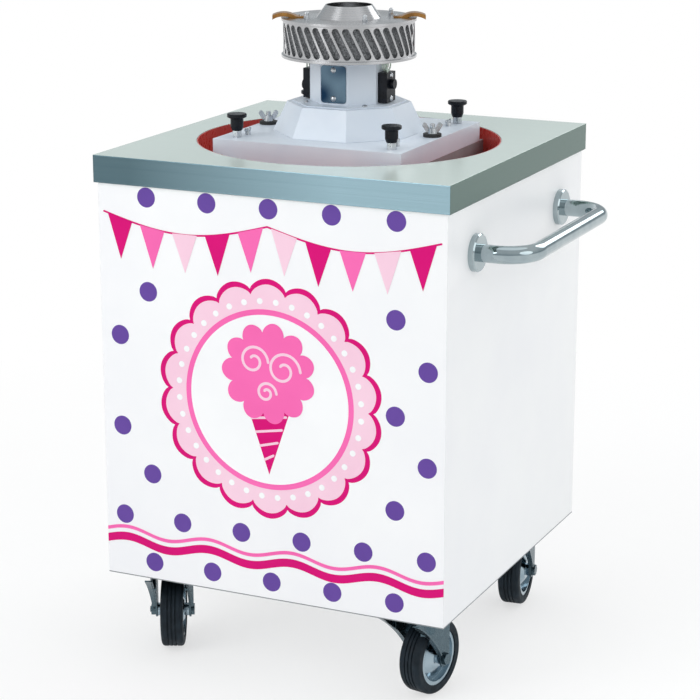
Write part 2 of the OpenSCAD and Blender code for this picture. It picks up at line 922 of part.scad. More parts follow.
module inspection_plate() {
    round_x = hatch_w / 2 - hatch_corner_r;
    round_y = hatch_h / 2 - hatch_corner_r;
    color("slategray")
        difference() {
            translate([0, -neck_w / 2, hatch_z])
                rotate([90, 0, 0])
                    linear_extrude(hatch_t) {
                        square([2 * round_x, hatch_h], center = true);
                        square([hatch_w, 2 * round_y], center = true);
                        for (s = corner_sign)
                            translate([s.x * round_x, s.y * round_y])
                                circle(r = hatch_corner_r);
                    }
            screw_holes();
        }
}

module dome_screws() {
    dome_r = (pow(screw_head_r, 2) + pow(screw_head_h, 2)) / (2 * screw_head_h);
    color("gainsboro")
        at_screws() {
            intersection() {
                translate([0, 0, screw_head_h - dome_r])
                    sphere(r = dome_r);
                post(screw_head_r * 2, 0, screw_head_h * 2);
            }
            post(screw_r, -screw_l, screw_l);
        }
}

// Square ways for the two carbon brushes, from the slip rings out to a given distance
module brush_ways(reach) {
    side = brush_side + 2 * face_gap;
    for (i = [0, 1])
        translate([brush_sign[i] > 0 ? ring_r : -reach, -side / 2, brush_z[i] - side / 2])
            cube([reach - ring_r, side, side]);
}

module brush_holders() {
    color("black")
        difference() {
            for (side = brush_sign)
                translate([side * (holder_x + holder_t / 2) - holder_t / 2, -holder_w / 2, holder_z])
                    cube([holder_t, holder_w, holder_h]);
            brush_ways(holder_x + brush_grip + face_gap);
            screw_holes();
        }
}

module brush_caps() {
    color("black")
        for (i = [0, 1])
            translate([brush_sign[i] * (holder_x + holder_t), 0, brush_z[i]])
                rotate([0, brush_sign[i] * 90, 0])
                    difference() {
                        cylinder(r = cap_r, h = cap_l);
                        translate([-cap_r - through, -cap_slot_w / 2, cap_l - cap_slot_w])
                            cube([2 * (cap_r + through), cap_slot_w, cap_slot_w + through]);
                    }
}

module carbon_brushes() {
    inner = ring_r + face_gap;
    outer = holder_x + brush_grip;
    color("dimgray")
        for (i = [0, 1])
            translate([brush_sign[i] > 0 ? inner : -outer, -brush_side / 2, brush_z[i] - brush_side / 2])
                cube([outer - inner, brush_side, brush_side]);
}

// Centre line of a brush lead: up from the holder, round its loops and down again
function lead_loop(a) = [
    lead_x + lead_pitch * a / 360,
    lead_loop_r * cos(a),
    lead_z + lead_loop_r * sin(a)
];
lead_angles = [for (k = [0 : lead_steps * lead_turns]) k * 360 / lead_steps];
lead_line = concat(
    [[lead_x, lead_loop_r, holder_top_z]],
    [for (a = lead_angles) lead_loop(a)],
    [[lead_x + lead_pitch * lead_turns, -lead_loop_r, holder_top_z]]
);
lead_out = concat([0], lead_angles, [360 * lead_turns]);

// Least gap of a lead to itself, over points more than half a loop apart
lead_gap = min([
    for (i = [0 : len(lead_line) - 1])
        for (j = [i + lead_steps / 2 : 1 : len(lead_line) - 1])
            norm(lead_line[i] - lead_line[j]) - lead_d
]);

// Direction of the lead at a point, from its neighbours; the two ends run straight
function lead_way(k) =
    k < 1 ? [0, 0, 1] :
    k > len(lead_line) - 2 ? [0, 0, -1] :
    lead_line[k + 1] - lead_line[k - 1];

// One ring of points round the lead
function lead_ring(k) =
    let (
        out = [0, cos(lead_out[k]), sin(lead_out[k])],
        across = cross(lead_way(k), out) / norm(cross(lead_way(k), out))
    )
    [for (s = [0 : lead_sides - 1])
        let (a = s * 360 / lead_sides)
            lead_line[k] + lead_d / 2 * (out * cos(a) + across * sin(a))];

// Solid tube from a list of rings, with triangle faces
module tube_of_rings(rings, sides) {
    last = (len(rings) - 1) * sides;
    points = [for (ring = rings) for (p = ring) p];
    skin = [
        for (k = [0 : len(rings) - 2])
            for (s = [0 : sides - 1])
                let (a = k * sides + s, b = k * sides + (s + 1) % sides)
                each [[a, a + sides, b], [b, a + sides, b + sides]]
    ];
    low = [for (s = [1 : sides - 2]) [0, s, s + 1]];
    high = [for (s = [1 : sides - 2]) [last, last + s + 1, last + s]];
    polyhedron(points, concat(skin, low, high));
}

module brush_leads() {
    echo(least_gap_of_a_lead = lead_gap);
    color("honeydew")
        for (side = [0, 1])
            mirror([side, 0, 0])
                tube_of_rings([for (k = [0 : len(lead_line) - 1]) lead_ring(k)], lead_sides);
}

module motor() {
    low_z = motor_top_z - motor_h;
    color("dimgray")
        difference() {
            post(motor_r, low_z, motor_h);
            post(spindle_r + run_gap, low_z + motor_floor, motor_h);
            post(bearing_r, motor_top_z - bearing_h, bearing_h + through);
        }
}

module bearings() {
    color("silver")
        for (z = [motor_top_z, neck_top_z])
            difference() {
                post(bearing_r - run_gap, z - bearing_h, bearing_h);
                post(spindle_r + run_gap, z - bearing_h - through, bearing_h + 2 * through);
            }
}

module clamp_studs() {
    color("silver") {
        for (side = [-1, 1])
            translate([side * clamp_x, 0, 0])
                post(clamp_d / 2, rail_z, base_skirt + washer_t + 2 * clamp_d);
        at_corners(small_clamp_x, small_clamp_y)
            post(small_clamp_d / 2, rail_z, base_skirt + 2 * small_clamp_d);
    }
}

// Wing nut for a stud of the given diameter, standing on Z = 0
module wing_nut(d) {
    hub_low_r = d * 0.95;
    hub_top_r = d * 0.8;
    hub_h = d * 1.1;
    wing_x = d * 0.75;
    wing_z = d * 0.45;
    wing_l = d * 1.5;
    wing_t = d * 0.36;
    difference() {
        union() {
            cylinder(r1 = hub_low_r, r2 = hub_top_r, h = hub_h);
            for (side = [0, 180])
                rotate([90, 0, side])
                    translate([wing_x, wing_z, -wing_t / 2])
                        rotate(-wing_lean)
                            linear_extrude(wing_t) {
                                translate([-d / 2, 0])
                                    square([d, wing_l]);
                                translate([0, wing_l])
                                    circle(r = d / 2);
                            }
        }
        post(d / 2 + run_gap, -through, 3 * d);
    }
}

module wing_nuts() {
    color("gainsboro") {
        for (side = [-1, 1])
            translate([side * clamp_x, 0, plate_z + washer_t])
                rotate(wing_turn)
                    wing_nut(clamp_d);
        at_corners(small_clamp_x, small_clamp_y)
            translate([0, 0, plate_z])
                rotate(90)
                    wing_nut(small_clamp_d);
    }
}

module rubber_washers() {
    color("black")
        for (side = [-1, 1])
            translate([side * clamp_x, 0, 0])
                difference() {
                    post(washer_r, plate_z, washer_t);
                    post(clamp_d / 2 + hole_gap, plate_z - through, washer_t + 2 * through);
                }
}

module plunger_bushes() {
    shank_h = base_t + bush_tail;
    color("silver")
        at_corners(plunger_place, plunger_place)
            difference() {
                union() {
                    translate([0, 0, plate_z])
                        hexagon(bush_w, bush_h);
                    post(bush_shank_r, plate_z - shank_h, shank_h);
                }
                post(plunger_r + run_gap, plate_z - shank_h - through, shank_h + bush_h + 2 * through);
            }
}

module plunger(i) {
    tip_z = rail_z - plunger_depth;
    knob_z = plate_z + bush_h + face_gap;
    cap_z = knob_z + plunger_body_h;
    top_z = cap_z + plunger_cap_h;
    foot_r = plunger_body_r * 0.8;
    swell_z = knob_z + plunger_body_h * 0.3;
    flare_z = cap_z - plunger_body_h * 0.1;
    edge_r = plunger_cap_r - pin_bevel;
    color("black")
        translate([corner_sign[i].x * plunger_place, corner_sign[i].y * plunger_place, 0])
            rotate_extrude()
                polygon([
                    [0, tip_z], [plunger_r - pin_bevel, tip_z], [plunger_r, tip_z + pin_bevel],
                    [plunger_r, knob_z], [foot_r, knob_z], [plunger_body_r, swell_z],
                    [plunger_body_r, flare_z], [edge_r, cap_z], [plunger_cap_r, cap_z + pin_bevel],
                    [plunger_cap_r, top_z - pin_bevel], [edge_r, top_z], [0, top_z]
                ]);
}

module spindle() {
    low_z = motor_top_z - motor_h + motor_floor + face_gap;
    nut_z = band_z + head_hub_h;
    color("silver") {
        post(spindle_r, low_z, nut_z - low_z + spindle_nut_h);
        post(spindle_r + spindle_room, neck_top_z + face_gap, head_gap - face_gap);
        translate([0, 0, nut_z])
            hexagon(2 * (spindle_r + spindle_room), spindle_nut_h);
    }
}

module slip_rings() {
    color("goldenrod")
        for (z = brush_z)
            difference() {
                post(ring_r, z - ring_h / 2, ring_h);
                post(spindle_r + run_gap, z - ring_h, 2 * ring_h);
            }
}

module head_base() {
    color("silver")
        difference() {
            union() {
                post(head_r, head_z, rim_t);
                post(head_hub_r, band_z, head_hub_h);
            }
            post(spindle_r + run_gap, head_z - through, rim_t + head_hub_h + 2 * through);
        }
}

// One leaning slot with round ends, cut outward through the band
module band_slot() {
    straight = (slot_h - slot_w) / cos(slot_lean);
    translate([band_r - 2 * band_t, 0, band_z + band_h / 2])
        rotate([slot_lean, 0, 0])
            rotate([0, 90, 0]) {
                translate([-straight / 2, -slot_w / 2, 0])
                    cube([straight, slot_w, 4 * band_t]);
                for (end = [-1, 1])
                    translate([end * straight / 2, 0, 0])
                        cylinder(r = slot_w / 2, h = 4 * band_t);
            }
}

module slotted_band() {
    color("silver")
        difference() {
            post(band_r, band_z, band_h);
            post(band_r - band_t, band_z - through, band_h + 2 * through);
            for (k = [0 : slot_count - 1])
                rotate(k * 360 / slot_count)
                    band_slot();
        }
}

module heater_ring() {
    color("dimgray")
        difference() {
            post(heater_r, band_z, band_h);
            post(heater_r - heater_t, band_z - through, band_h + 2 * through);
        }
}

module top_cover() {
    color("silver")
        difference() {
            rotate_extrude()
                polygon([
                    [cone_low_r - cone_t, cover_z], [head_r, cover_z], [head_r, cover_top_z],
                    [cone_low_r, cover_top_z], [cone_top_r, cover_top_z + cone_h],
                    [cone_top_r - cone_t, cover_top_z + cone_h], [cone_low_r - cone_t, cover_top_z]
                ]);
            at_cover_studs()
                post(cover_stud_r + run_gap, cover_z - through, rim_t + 2 * through);
        }
}

module at_cover_studs() {
    for (a = [45 : 90 : 315])
        rotate(a)
            translate([stud_circle_r, 0, 0])
                children();
}

module cover_studs() {
    dome_r = dome_nut_w * 0.45;
    hex_h = dome_nut_h * 0.4;
    color("gainsboro")
        at_cover_studs() {
            post(cover_stud_r, band_z, cover_top_z - band_z);
            translate([0, 0, cover_top_z])
                hexagon(dome_nut_w, hex_h);
            translate([0, 0, cover_top_z + hex_h])
                rotate_extrude()
                    intersection() {
                        union() {
                            square([dome_r, dome_nut_h - hex_h - dome_r]);
                            translate([0, dome_nut_h - hex_h - dome_r])
                                circle(r = dome_r);
                        }
                        square([dome_r * 2, dome_nut_h]);
                    }
        }
}

module rim_clips() {
    middle_r = head_r - rim_t;
    foot_r = middle_r - sqrt(pow(clip_arch_r, 2) - pow(clip_arch_r - clip_rise, 2));
    color("peru")
        for (side = [0, 180])
            rotate(clip_dir + side)
                translate([0, 0, cover_top_z])
                    rotate([90, 0, 0])
                        linear_extrude(clip_w, center = true) {
                            translate([foot_r - clip_foot, 0])
                                square([clip_foot + clip_t, clip_foot_t]);
                            intersection() {
                                translate([middle_r, clip_rise - clip_arch_r])
                                    difference() {
                                        circle(r = clip_arch_r);
                                        circle(r = clip_arch_r - clip_t);
                                    }
                                union() {
                                    translate([middle_r - clip_arch_r, 0])
                                        square([clip_arch_r, clip_arch_r]);
                                    translate([middle_r, -clip_arch_r])
                                        square([head_r + clip_reach - middle_r, 2 * clip_arch_r]);
                                }
                            }
                        }
}

base_board();
front_panel();
left_panel();
right_panel();
rear_frame();
worktop();
well_pan();
support_rails();
handle_tube();
handle_flanges();
hinge_frame_leaves();
hinge_pins();
magnet_catch();
door();
hinge_door_leaves();
door_knob();
caster_plates();
for (i = [0 : 3]) {
    fork(i);
    axle(i);
    rim(i);
    tyre(i);
    plunger(i);
}
machine_base();
pyramid_housing();
neck_housing();
inspection_plate();
dome_screws();
brush_holders();
brush_caps();
carbon_brushes();
brush_leads();
motor();
bearings();
clamp_studs();
wing_nuts();
rubber_washers();
plunger_bushes();
spindle();
slip_rings();
head_base();
slotted_band();
heater_ring();
top_cover();
cover_studs();
rim_clips();
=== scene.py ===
import json
import math

import bmesh
import bpy
from mathutils import Matrix, Vector


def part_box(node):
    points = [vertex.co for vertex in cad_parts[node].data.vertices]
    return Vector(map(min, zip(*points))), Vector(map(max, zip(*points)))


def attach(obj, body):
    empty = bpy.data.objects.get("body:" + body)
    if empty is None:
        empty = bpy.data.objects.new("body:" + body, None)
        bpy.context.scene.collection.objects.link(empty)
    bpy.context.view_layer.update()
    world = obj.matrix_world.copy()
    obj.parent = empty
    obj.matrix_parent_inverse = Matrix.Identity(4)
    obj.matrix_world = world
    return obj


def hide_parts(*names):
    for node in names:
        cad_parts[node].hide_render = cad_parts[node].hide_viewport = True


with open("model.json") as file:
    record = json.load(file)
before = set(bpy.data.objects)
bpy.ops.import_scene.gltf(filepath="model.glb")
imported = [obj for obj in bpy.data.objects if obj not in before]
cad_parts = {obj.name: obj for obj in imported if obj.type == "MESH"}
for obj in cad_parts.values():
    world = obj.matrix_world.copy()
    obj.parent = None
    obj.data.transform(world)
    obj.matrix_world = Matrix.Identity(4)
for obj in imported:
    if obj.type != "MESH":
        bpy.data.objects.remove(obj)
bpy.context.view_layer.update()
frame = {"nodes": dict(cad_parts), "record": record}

MM = 0.001

# Camera at the photograph's viewing angle
CAMERA_PLACE = (1.5221, -3.2885, 1.4909)
CAMERA_PITCH = 15.3
CAMERA_YAW = 24.8135
CAMERA_LENS = 114.6
SENSOR_W = 36.0


def make_camera():
    data = bpy.data.cameras.new("camera")
    data.lens = CAMERA_LENS
    data.sensor_width = SENSOR_W
    camera = bpy.data.objects.new("camera", data)
    camera.location = CAMERA_PLACE
    camera.rotation_euler = (math.radians(90 - CAMERA_PITCH), 0, math.radians(CAMERA_YAW))
    bpy.context.scene.collection.objects.link(camera)
    bpy.context.scene.camera = camera


# Colours
def tone(code):
    """A colour written as six hexadecimal digits, as linear red, green and blue with alpha."""
    parts = [int(code[i:i + 2], 16) / 255 for i in (0, 2, 4)]
    return (*[p / 12.92 if p <= 0.04045 else ((p + 0.055) / 1.055) ** 2.4 for p in parts], 1.0)


# Sockets of a Mix node that mixes colours: share, first and second, and the result
MIX_IN = (0, 6, 7)
MIX_OUT = 2
EDGE_SAMPLES = 6


class Shade:
    """One material: a Principled shader, and short calls for the nodes that feed it."""

    def __init__(self, name, colour, roughness, metallic=0.0):
        self.material = bpy.data.materials.new(name)
        self.material.use_nodes = True
        self.tree = self.material.node_tree
        self.shader = self.tree.nodes["Principled BSDF"]
        self.normal = None
        self.set("Base Color", tone(colour))
        self.set("Roughness", roughness)
        self.set("Metallic", metallic)

    def feed(self, socket, value):
        if isinstance(value, bpy.types.NodeSocket):
            self.tree.links.new(value, socket)
        else:
            socket.default_value = value

    def set(self, name, value):
        """A constant or a node's output on the shader's own socket."""
        self.feed(self.shader.inputs[name], value)

    def node(self, kind, inputs, **settings):
        node = self.tree.nodes.new("ShaderNode" + kind)
        for name, value in settings.items():
            setattr(node, name, value)
        for name, value in inputs.items():
            self.feed(node.inputs[name], value)
        return node

    def coords(self, output="Object"):
        return self.node("TexCoord", {}).outputs[output]

    def stretched(self, stretch):
        return self.node("Mapping", {"Vector": self.coords(), "Scale": stretch}).outputs["Vector"]

    def part(self, vector, axis):
        return self.node("SeparateXYZ", {"Vector": vector}).outputs[axis]

    def math(self, operation, first, second=0.0):
        node = self.node("Math", {}, operation=operation)
        self.feed(node.inputs[0], first)
        self.feed(node.inputs[1], second)
        return node.outputs["Value"]

    def noise(self, scale, detail=3.0, point=None):
        inputs = {"Scale": scale, "Detail": detail, "Vector": point or self.coords()}
        return self.node("TexNoise", inputs).outputs["Fac"]

    def cells(self, scale):
        return self.node("TexVoronoi", {"Scale": scale, "Vector": self.coords()}).outputs["Color"]

    def facing(self, axis):
        """1 on faces square to the axis, 0 on faces along it."""
        return self.math("ABSOLUTE", self.part(self.coords("Normal"), axis))

    def turned(self, scale):
        """Coordinates whose fine lines run round the spin axis."""
        flat = self.node("VectorMath", {}, operation="MULTIPLY")
        self.feed(flat.inputs[0], self.coords())
        self.feed(flat.inputs[1], (1, 1, 0))
        length = self.node("VectorMath", {}, operation="LENGTH")
        self.feed(length.inputs[0], flat.outputs["Vector"])
        across = self.math("MULTIPLY", length.outputs["Value"], scale)
        upward = self.math("MULTIPLY", self.part(self.coords(), "Z"), scale)
        return self.node("CombineXYZ", {"X": across, "Z": upward}).outputs["Vector"]

    def span(self, value, low, high, start=0.3, end=0.7):
        """The value from start to end as a number from low to high."""
        inputs = {"Value": value, "From Min": start, "From Max": end, "To Min": low, "To Max": high}
        return self.node("MapRange", inputs).outputs["Result"]

    def ramp(self, value, low, high, start=0.3, end=0.7):
        """The value from start to end as a colour from low to high."""
        node = self.node("ValToRGB", {"Fac": value})
        for element, place, colour in zip(node.color_ramp.elements, (start, end), (low, high)):
            element.position = place
            element.color = tone(colour)
        return node.outputs["Color"]

    def mix(self, share, first, second):
        node = self.node("Mix", {}, data_type="RGBA")
        for socket, value in zip(MIX_IN, (share, first, second)):
            self.feed(node.inputs[socket], value)
        return node.outputs[MIX_OUT]

    def colour(self, value):
        self.set("Base Color", value)

    def rough(self, value, low, high):
        self.set("Roughness", self.span(value, low, high))

    def set_normal(self, node):
        if self.normal is not None and "Height" in node.inputs:
            self.feed(node.inputs["Normal"], self.normal)
        self.normal = node.outputs["Normal"]
        self.set("Normal", self.normal)

    def soften(self, radius):
        """Light catches the edges as if they were rounded."""
        self.set_normal(self.node("Bevel", {"Radius": radius}, samples=EDGE_SAMPLES))

    def bump(self, height, depth):
        self.set_normal(self.node("Bump", {"Height": height, "Distance": depth}))


# Materials, one function for each slot of the record
def white_board():
    s = Shade("white_board", "F6F6F7", 0.36)
    s.colour(s.ramp(s.noise(5), "F8F8F8", "F3F3F5"))
    s.rough(s.noise(70), 0.3, 0.42)
    s.soften(0.8 * MM)
    s.bump(s.noise(1500, detail=1), 0.015 * MM)
    return s.material


# Stretch of the worktop's brushed lines, along and across them
BRUSH_LONG, BRUSH_ACROSS = 0.8, 900
# How square to an axis a face is where it starts to count as facing it, and where it counts fully
SQUARE_FROM, SQUARE_TO = 0.4, 0.6
# Places between which the worktop's front band goes from dark to light, as a painted reflection in its colour
PAINTED_REFLECTION_DARK_X, PAINTED_REFLECTION_LIGHT_X = -0.24, 0.12


def stainless():
    s = Shade("stainless", "D5E2DA", 0.22, metallic=0.8)
    lines = s.span(
        s.facing("X"),
        s.noise(1, point=s.stretched((BRUSH_LONG, BRUSH_ACROSS, BRUSH_ACROSS))),
        s.noise(1, point=s.stretched((BRUSH_ACROSS, BRUSH_LONG, BRUSH_ACROSS))),
        SQUARE_FROM,
        SQUARE_TO,
    )
    # Painted reflection: the upright bands are coloured darker than the level top, and the front band goes
    # from dark to light along X
    top = s.ramp(lines, "E1EEE7", "E5F1EA")
    along = s.span(s.part(s.coords(), "X"), 0, 1, PAINTED_REFLECTION_DARK_X, PAINTED_REFLECTION_LIGHT_X)
    front = s.mix(along, s.ramp(lines, "546D76", "5C757D"), s.ramp(lines, "96B5C0", "9EBCC7"))
    side = s.ramp(lines, "526B64", "59726B")
    band_painted_reflection = s.mix(s.span(s.facing("X"), 0, 1, SQUARE_FROM, SQUARE_TO), front, side)
    level = s.span(s.facing("Z"), 0, 1, SQUARE_FROM, SQUARE_TO)
    s.colour(s.mix(level, band_painted_reflection, top))
    s.set("Metallic", s.span(level, 0.8, 0.45, 0, 1))
    s.rough(lines, 0.24, 0.27)
    s.soften(2.6 * MM)
    s.bump(lines, 0.003 * MM)
    return s.material


def red_paint():
    s = Shade("red_paint", "C4463F", 0.3)
    s.colour(s.ramp(s.noise(14), "BC3F39", "CE4F47"))
    s.rough(s.noise(90), 0.22, 0.36)
    s.bump(s.noise(900, detail=1), 0.006 * MM)
    return s.material


def grey_paint():
    s = Shade("grey_paint", "8C9194", 0.45)
    s.colour(s.ramp(s.noise(18), "858A8D", "94999C"))
    s.rough(s.noise(120), 0.38, 0.52)
    s.bump(s.noise(1100, detail=1), 0.02 * MM)
    return s.material


def chrome():
    s = Shade("chrome", "A5B1B5", 0.06, metallic=1.0)
    s.colour(s.ramp(s.noise(25), "9BA9AE", "AFBBBE"))
    s.rough(s.noise(45, detail=6), 0.03, 0.1)
    return s.material


def zinc():
    s = Shade("zinc", "BBBFC3", 0.28, metallic=1.0)
    s.colour(s.ramp(s.cells(160), "B0B5BA", "C8CBCE", 0.1, 0.9))
    s.rough(s.cells(160), 0.2, 0.36)
    s.soften(0.7 * MM)
    s.bump(s.noise(500), 0.01 * MM)
    return s.material


def painted_shade_steel():
    """Bright-plated steel of the forks and plates, coloured darker as painted shade under the cart."""
    s = Shade("painted_shade_steel", "54666F", 0.26, metallic=1.0)
    s.colour(s.ramp(s.cells(190), "51636C", "5A6C74", 0.1, 0.9))
    s.rough(s.cells(190), 0.24, 0.31)
    s.soften(0.7 * MM)
    s.bump(s.noise(500), 0.01 * MM)
    return s.material


def rim_steel():
    s = Shade("rim_steel", "9AACB7", 0.18, metallic=1.0)
    s.colour(s.ramp(s.noise(40), "8EA1AD", "A8B8C1"))
    s.rough(s.noise(160), 0.12, 0.26)
    s.soften(0.6 * MM)
    return s.material


def tyre_rubber():
    s = Shade("tyre_rubber", "19232B", 0.6)
    s.set("Specular IOR Level", 0.25)
    s.colour(s.ramp(s.noise(50, detail=6), "111A21", "202C35"))
    s.rough(s.noise(80), 0.58, 0.8)
    s.soften(0.8 * MM)
    s.bump(s.noise(1300), 0.04 * MM)
    return s.material


def black_knob():
    s = Shade("black_knob", "10151C", 0.3)
    s.set("Specular IOR Level", 0.2)
    bare = s.math("LESS_THAN", s.part(s.coords(), "Z"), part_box("plunger_bushes")[1].z)
    s.colour(s.mix(bare, s.ramp(s.noise(60), "0C1016", "161C24"), tone("A8ABAF")))
    s.set("Metallic", bare)
    s.rough(s.noise(120), 0.24, 0.4)
    s.soften(0.7 * MM)
    s.bump(s.noise(900, detail=1), 0.02 * MM)
    return s.material


def machine_paint():
    s = Shade("machine_paint", "D6DFEA", 0.34)
    s.colour(s.ramp(s.noise(9), "D1DBE7", "DCE4ED"))
    s.rough(s.noise(90), 0.28, 0.4)
    s.soften(1.2 * MM)
    s.bump(s.noise(750, detail=2), 0.03 * MM)
    return s.material


def hatch_steel():
    s = Shade("hatch_steel", "3E5C78", 0.16, metallic=1.0)
    # The blue tone and the large blotches from dark to light are a painted reflection of a bluish room in the
    # polished sheet
    s.colour(s.ramp(s.noise(18, detail=1), "1A324B", "6B8393"))
    s.rough(s.noise(1, point=s.stretched((1200, 1200, 12))), 0.1, 0.22)
    s.soften(0.5 * MM)
    s.bump(s.noise(32, detail=1), 1.2 * MM)
    return s.material


def black_plastic():
    s = Shade("black_plastic", "0F131B", 0.3)
    s.set("Specular IOR Level", 0.2)
    s.colour(s.ramp(s.noise(80), "0B0E15", "151A23"))
    s.rough(s.noise(200), 0.26, 0.42)
    s.soften(0.6 * MM)
    s.bump(s.noise(1200), 0.015 * MM)
    return s.material


def carbon():
    s = Shade("carbon", "2B2B2D", 0.6, metallic=0.3)
    s.colour(s.ramp(s.noise(300), "222224", "37373A"))
    s.rough(s.noise(300), 0.5, 0.7)
    s.bump(s.noise(1500), 0.02 * MM)
    return s.material


def pale_lead():
    s = Shade("pale_lead", "DDEBDD", 0.4)
    s.colour(s.ramp(s.noise(160), "D3E4D4", "E6F1E5"))
    s.rough(s.noise(300), 0.32, 0.48)
    s.bump(s.noise(1400), 0.02 * MM)
    return s.material


def motor_paint():
    s = Shade("motor_paint", "3C4147", 0.5)
    s.colour(s.ramp(s.noise(40), "353A40", "454B52"))
    s.rough(s.noise(120), 0.42, 0.58)
    s.bump(s.noise(700), 0.04 * MM)
    return s.material


def ground_steel():
    s = Shade("ground_steel", "B9BCC0", 0.22, metallic=1.0)
    lines = s.noise(1, point=s.turned(1500))
    s.colour(s.ramp(lines, "ABAFB4", "C7CACD"))
    s.rough(lines, 0.16, 0.3)
    s.soften(0.4 * MM)
    return s.material


def washer_rubber():
    s = Shade("washer_rubber", "1A1A1B", 0.66)
    s.colour(s.ramp(s.noise(120), "151516", "242425"))
    s.rough(s.noise(150), 0.55, 0.76)
    s.bump(s.noise(1500), 0.03 * MM)
    return s.material


def ring_brass():
    s = Shade("ring_brass", "C79A4B", 0.28, metallic=1.0)
    lines = s.noise(1, point=s.turned(1200))
    s.colour(s.ramp(lines, "B98A3E", "D4A95C"))
    s.rough(lines, 0.22, 0.38)
    return s.material


def head_aluminium():
    s = Shade("head_aluminium", "B9BABC", 0.27, metallic=1.0)
    lines = s.noise(1, detail=5, point=s.turned(900))
    s.colour(s.ramp(lines, "B2B3B6", "C1C1C2"))
    s.rough(lines, 0.24, 0.3)
    s.set("Anisotropic", 0.9)
    s.set("Anisotropic Rotation", 0.25)
    s.set("Tangent", s.node("Tangent", {}, direction_type="RADIAL", axis="Z").outputs["Tangent"])
    s.soften(0.5 * MM)
    s.bump(lines, 0.002 * MM)
    return s.material


def heater_steel():
    s = Shade("heater_steel", "6C6E71", 0.5, metallic=0.35)
    s.colour(s.ramp(s.noise(420), "404245", "A2A4A7"))
    s.rough(s.noise(420), 0.4, 0.6)
    s.bump(s.noise(700), 0.1 * MM)
    return s.material


def clip_bronze():
    s = Shade("clip_bronze", "946530", 0.3, metallic=0.55)
    s.colour(s.ramp(s.noise(60), "7C5222", "AC7C3E"))
    s.rough(s.noise(150), 0.22, 0.4)
    s.soften(0.5 * MM)
    return s.material


def vinyl(name, colour, darker):
    """Printed self-adhesive film."""
    s = Shade(name, colour, 0.34)
    s.set("Specular IOR Level", 0.15)
    s.colour(s.ramp(s.noise(7), colour, darker))
    s.rough(s.noise(80), 0.28, 0.42)
    s.bump(s.noise(1500, detail=1), 0.012 * MM)
    return s.material


SLOT_MATERIALS = {
    make.__name__: make()
    for make in (
        white_board, stainless, red_paint, grey_paint, chrome, zinc, rim_steel, tyre_rubber, black_knob,
        machine_paint, hatch_steel, black_plastic, carbon, pale_lead, motor_paint, ground_steel,
        washer_rubber, ring_brass, head_aluminium, heater_steel, clip_bronze,
    )
}

# Nodes of the casters' metal, by the first word of their names, and its material: the plated steel coloured
# darker, as painted shade under the cart
CASTER_METAL = ("fork", "axle", "caster")
PAINTED_SHADE_STEEL = painted_shade_steel()


def dress_frame():
    """Every CAD node gets the material of its slot, and the casters' metal a darker copy of the plated steel,
    which is painted shade.
    """
    for row in frame["record"]["subparts"]:
        mesh = frame["nodes"][row["node"]].data
        mesh.materials.clear()
        material = SLOT_MATERIALS[row["material_slot"]]
        mesh.materials.append(PAINTED_SHADE_STEEL if row["node"].split("_")[0] in CASTER_METAL else material)


# Making pieces
SMOOTH_ANGLE = 40


def add_piece(name, data, material, body="cart"):
    piece = bpy.data.objects.new(name, data)
    bpy.context.scene.collection.objects.link(piece)
    data.materials.append(material)
    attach(piece, body)
    return piece


def mesh_piece(name, bm, material, body="cart", smooth_angle=SMOOTH_ANGLE):
    bmesh.ops.recalc_face_normals(bm, faces=bm.faces)
    mesh = bpy.data.meshes.new(name)
    bm.to_mesh(mesh)
    bm.free()
    mesh.shade_smooth()
    mesh.set_sharp_from_angle(angle=math.radians(smooth_angle))
    add_piece(name, mesh, material, body)


def add_loft(bm, rings):
    """A closed skin over rings of equally many vertices."""
    count = len(rings[0])
    for one, two in zip(rings, rings[1:]):
        for k in range(count):
            n = (k + 1) % count
            bm.faces.new((one[k], one[n], two[n], two[k]))
    bm.faces.new(rings[0])
    bm.faces.new(rings[-1])


# Brush leads: a pale wire rises from each brush holder, loops and goes back into it
LEAD_D = 2.6 * MM
LEAD_PITCH = 4.2 * MM
LEAD_TURNS = 2.5
LEAD_STEPS = 48


def lead_route(side):
    """Points of one lead; the loops lie between the holder's top and the spinner."""
    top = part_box("brush_leads")[1]
    holder_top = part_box("brush_holders")[1].z
    loop_r = top.y - LEAD_D / 2
    end_x = top.x - LEAD_D / 2
    start_x = end_x - LEAD_PITCH * LEAD_TURNS
    middle_z = top.z - LEAD_D / 2 - loop_r
    points = [(side * start_x, loop_r, holder_top)]
    for step in range(int(LEAD_STEPS * LEAD_TURNS) + 1):
        turn = step / LEAD_STEPS
        angle = math.tau * turn
        x = start_x + LEAD_PITCH * turn
        points.append((side * x, loop_r * math.cos(angle), middle_z + loop_r * math.sin(angle)))
    points.append((side * end_x, -loop_r, holder_top))
    return points


def make_leads():
    for name, side in (("brush_lead_right", 1), ("brush_lead_left", -1)):
        route = lead_route(side)
        curve = bpy.data.curves.new(name, "CURVE")
        curve.dimensions = "3D"
        curve.bevel_depth = LEAD_D / 2
        curve.bevel_resolution = 4
        curve.use_fill_caps = True
        spline = curve.splines.new("POLY")
        spline.points.add(len(route) - 1)
        for point, place in zip(spline.points, route):
            point.co = (*place, 1)
        piece = add_piece(name, curve, SLOT_MATERIALS["pale_lead"])
        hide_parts("brush_leads")


# Printed film on the front panel: flat shapes in mm along the panel's X and Z, in layers
FILM_T = 0.15 * MM
FILM_SMOOTH_ANGLE = 30
LOBE_STEPS = 20
LOBE_POWER = 0.7
CAP_STEPS = 8


def circle_points(cx, cz, r, count):
    turns = [math.tau * k / count for k in range(count)]
    return [(cx + r * math.cos(a), cz + r * math.sin(a)) for a in turns]


def scallop_points(cx, cz, r, lobes, depth):
    """A round outline of bulging lobes."""
    points = []
    for k in range(lobes * LOBE_STEPS):
        a = math.tau * k / (lobes * LOBE_STEPS)
        swell = abs(math.sin(lobes * a / 2)) ** LOBE_POWER
        reach = r - depth + depth * swell
        points.append((cx + reach * math.cos(a), cz + reach * math.sin(a)))
    return points


